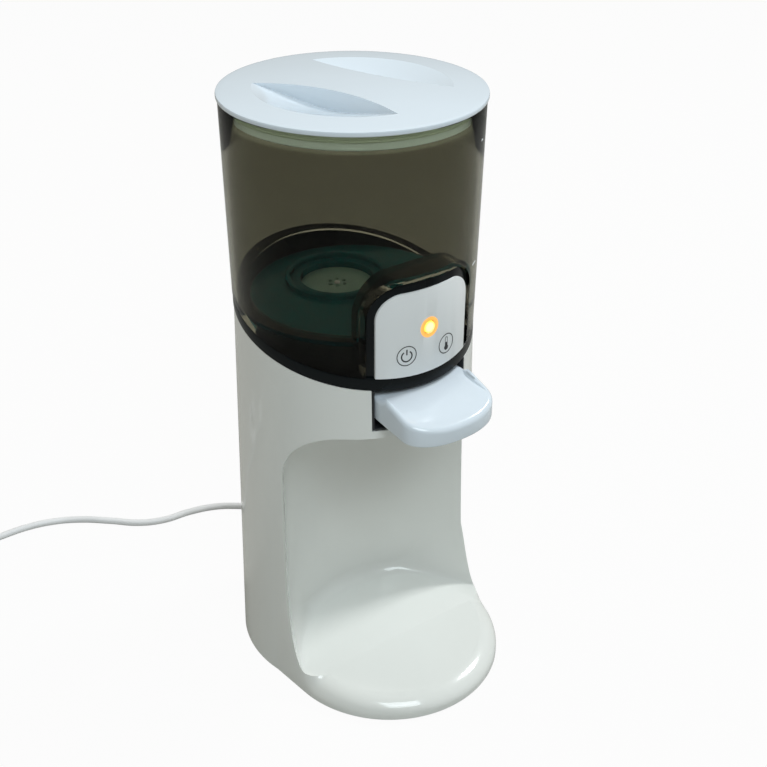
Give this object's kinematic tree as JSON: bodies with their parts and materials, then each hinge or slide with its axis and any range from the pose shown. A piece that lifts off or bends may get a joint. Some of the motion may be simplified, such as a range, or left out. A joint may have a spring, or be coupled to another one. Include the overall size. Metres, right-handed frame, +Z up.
{
  "type": "instant bottle warmer",
  "caption": "Countertop water warmer for baby bottles: white tower with an open bottle bay and foot, push-down dispensing lever, smoke tinted lift-off tank, twist lid and mains cord",
  "frame": {"origin": "centre of the footprint of the appliance, cord left out, on the surface that it stands on", "axes": "+Z up; the front with the lever, the bottle bay and the foot faces -Y; +X is the right hand side for someone who faces the front"},
  "size_m": [0.34, 0.3565, 0.3267],
  "materials": {
    "black_plastic": "black, semi-gloss",
    "brass_probe": "plain brass",
    "circuit_board": "green lacquered board",
    "dark_inner": "plain moulded dark grey",
    "dark_rubber": "matt dark rubber",
    "heater_metal": "plain stainless",
    "lamp_lens": "amber lens",
    "pale_seal": "pale silicone",
    "plug_brass": "bright plated brass",
    "silicone_hose": "milky silicone",
    "smoke_tint": "clear plastic with a dark smoke tint",
    "spring_steel": "bright drawn steel",
    "transformer_tape": "yellow tape",
    "translucent_plastic": "frosted natural plastic",
    "white_cord": "smooth white cord jacket",
    "white_gloss": "polished white",
    "white_inner": "plain moulded white",
    "white_label": "smooth white face plate",
    "white_shell": "smooth white, semi-gloss"
  },
  "bodies": {
    "tower": {"tower_shell": "white_shell", "seat_tray": "black_plastic", "control_housing": "black_plastic", "control_label": "white_label", "status_lamp": "lamp_lens", "touch_board": "circuit_board", "slot_liner": "black_plastic", "lever_cradle": "dark_inner", "hinge_pin": "spring_steel", "lever_spring": "spring_steel", "spout": "translucent_plastic", "heater_body": "heater_metal", "heater_cap": "dark_inner", "heater_clamp": "heater_metal", "temperature_probe": "brass_probe", "thermal_cutout": "dark_inner", "feed_hose": "silicone_hose", "outlet_hose": "silicone_hose", "base_plate": "white_inner", "rubber_foot_front_right": "dark_rubber", "rubber_foot_rear_right": "dark_rubber", "rubber_foot_front_left": "dark_rubber", "rubber_foot_rear_left": "dark_rubber", "base_screw_front_right": "spring_steel", "base_screw_rear_right": "spring_steel", "base_screw_front_left": "spring_steel", "base_screw_rear_left": "spring_steel", "main_board": "circuit_board", "transformer": "transformer_tape", "heater_relay": "dark_inner", "smoothing_capacitor": "dark_inner", "buzzer": "dark_inner", "wire_socket": "white_inner", "strain_relief": "white_cord", "power_cord": "white_cord", "cord_coil": "white_cord", "cord_tie": "dark_rubber", "plug_body": "white_cord", "plug_blade_left": "plug_brass", "plug_blade_right": "plug_brass"},
    "tank_unit": {"tank": "smoke_tint", "outlet_cap": "translucent_plastic", "valve_spring": "spring_steel", "outlet_seal": "dark_rubber"},
    "lid_unit": {"lid": "white_gloss", "lid_seal": "pale_seal"},
    "lever": {"dispense_lever": "white_gloss"},
    "rod": {"push_rod": "spring_steel"},
    "plunger": {"valve_plunger": "white_inner"}
  },
  "joints": [
    {"name": "tank_lift", "type": "slide", "parent": "tower", "child": "tank_unit", "axis": [0, 0, 1], "range_m": [0, 0.06]},
    {"name": "lid_lift", "type": "slide", "parent": "tank_unit", "child": "lid_unit", "axis": [0, 0, 1], "range_m": [0, 0.025]},
    {"name": "lever_press", "type": "hinge", "parent": "tower", "child": "lever", "pos_m": [0, -0.00745, 0.1815], "axis": [1, 0, 0], "range_deg": [0, 5], "stiffness_Nm_per_rad": 4, "springref_deg": -2.86, "deforming": ["lever_spring"]},
    {"name": "rod_lift", "type": "slide", "parent": "tower", "child": "rod", "axis": [0, 0, 1], "range_m": [0, 0.0033]},
    {"name": "plunger_lift", "type": "slide", "parent": "tank_unit", "child": "plunger", "axis": [0, 0, 1], "range_m": [0, 0.0033], "deforming": ["valve_spring"]}
  ],
  "couplings": [
    {"joint": "rod_lift", "follows": "lever_press", "m_per_rad": 0.037},
    {"joint": "plunger_lift", "follows": "lever_press", "m_per_rad": 0.037}
  ]
}
